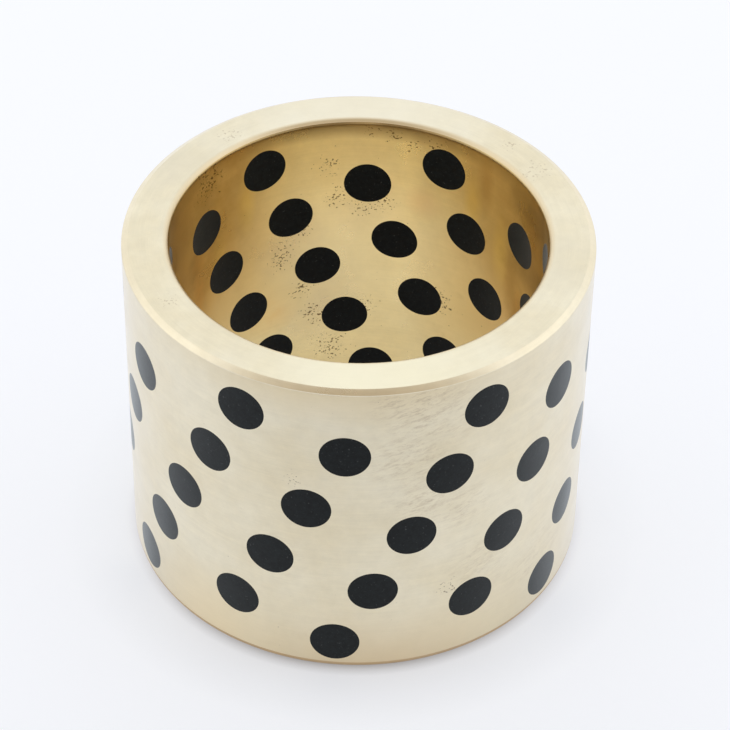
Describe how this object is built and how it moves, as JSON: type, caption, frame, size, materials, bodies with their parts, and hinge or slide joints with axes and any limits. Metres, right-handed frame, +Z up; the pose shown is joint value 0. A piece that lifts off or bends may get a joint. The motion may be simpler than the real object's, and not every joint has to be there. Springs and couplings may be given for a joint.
{
  "type": "graphite-plugged sleeve bushing",
  "caption": "Plain bronze sleeve bushing with flush graphite plugs set through its wall in slanted rows; it carries a shaft and slides without grease.",
  "frame": {"origin": "centre of the bottom face, on the bore's axis", "axes": "+Z up along the bore's axis, from the resting face to the top face"},
  "size_m": [0.075, 0.075, 0.06],
  "materials": {
    "bronze": "satin",
    "graphite": "matte"
  },
  "bodies": {
    "root": {"bronze_sleeve": "bronze", "graphite_plug_a1": "graphite", "graphite_plug_a2": "graphite", "graphite_plug_a3": "graphite", "graphite_plug_a4": "graphite", "graphite_plug_a5": "graphite", "graphite_plug_a6": "graphite", "graphite_plug_b1": "graphite", "graphite_plug_b2": "graphite", "graphite_plug_b3": "graphite", "graphite_plug_b4": "graphite", "graphite_plug_b5": "graphite", "graphite_plug_b6": "graphite", "graphite_plug_c1": "graphite", "graphite_plug_c2": "graphite", "graphite_plug_c3": "graphite", "graphite_plug_c4": "graphite", "graphite_plug_c5": "graphite", "graphite_plug_c6": "graphite", "graphite_plug_d1": "graphite", "graphite_plug_d2": "graphite", "graphite_plug_d3": "graphite", "graphite_plug_d4": "graphite", "graphite_plug_d5": "graphite", "graphite_plug_d6": "graphite", "graphite_plug_e1": "graphite", "graphite_plug_e2": "graphite", "graphite_plug_e3": "graphite", "graphite_plug_e4": "graphite", "graphite_plug_e5": "graphite", "graphite_plug_e6": "graphite", "graphite_plug_f1": "graphite", "graphite_plug_f2": "graphite", "graphite_plug_f3": "graphite", "graphite_plug_f4": "graphite", "graphite_plug_f5": "graphite", "graphite_plug_f6": "graphite", "graphite_plug_g1": "graphite", "graphite_plug_g2": "graphite", "graphite_plug_g3": "graphite", "graphite_plug_g4": "graphite", "graphite_plug_g5": "graphite", "graphite_plug_g6": "graphite", "graphite_plug_h1": "graphite", "graphite_plug_h2": "graphite", "graphite_plug_h3": "graphite", "graphite_plug_h4": "graphite", "graphite_plug_h5": "graphite", "graphite_plug_h6": "graphite", "graphite_plug_i1": "graphite", "graphite_plug_i2": "graphite", "graphite_plug_i3": "graphite", "graphite_plug_i4": "graphite", "graphite_plug_i5": "graphite", "graphite_plug_i6": "graphite"}
  },
  "joints": []
}
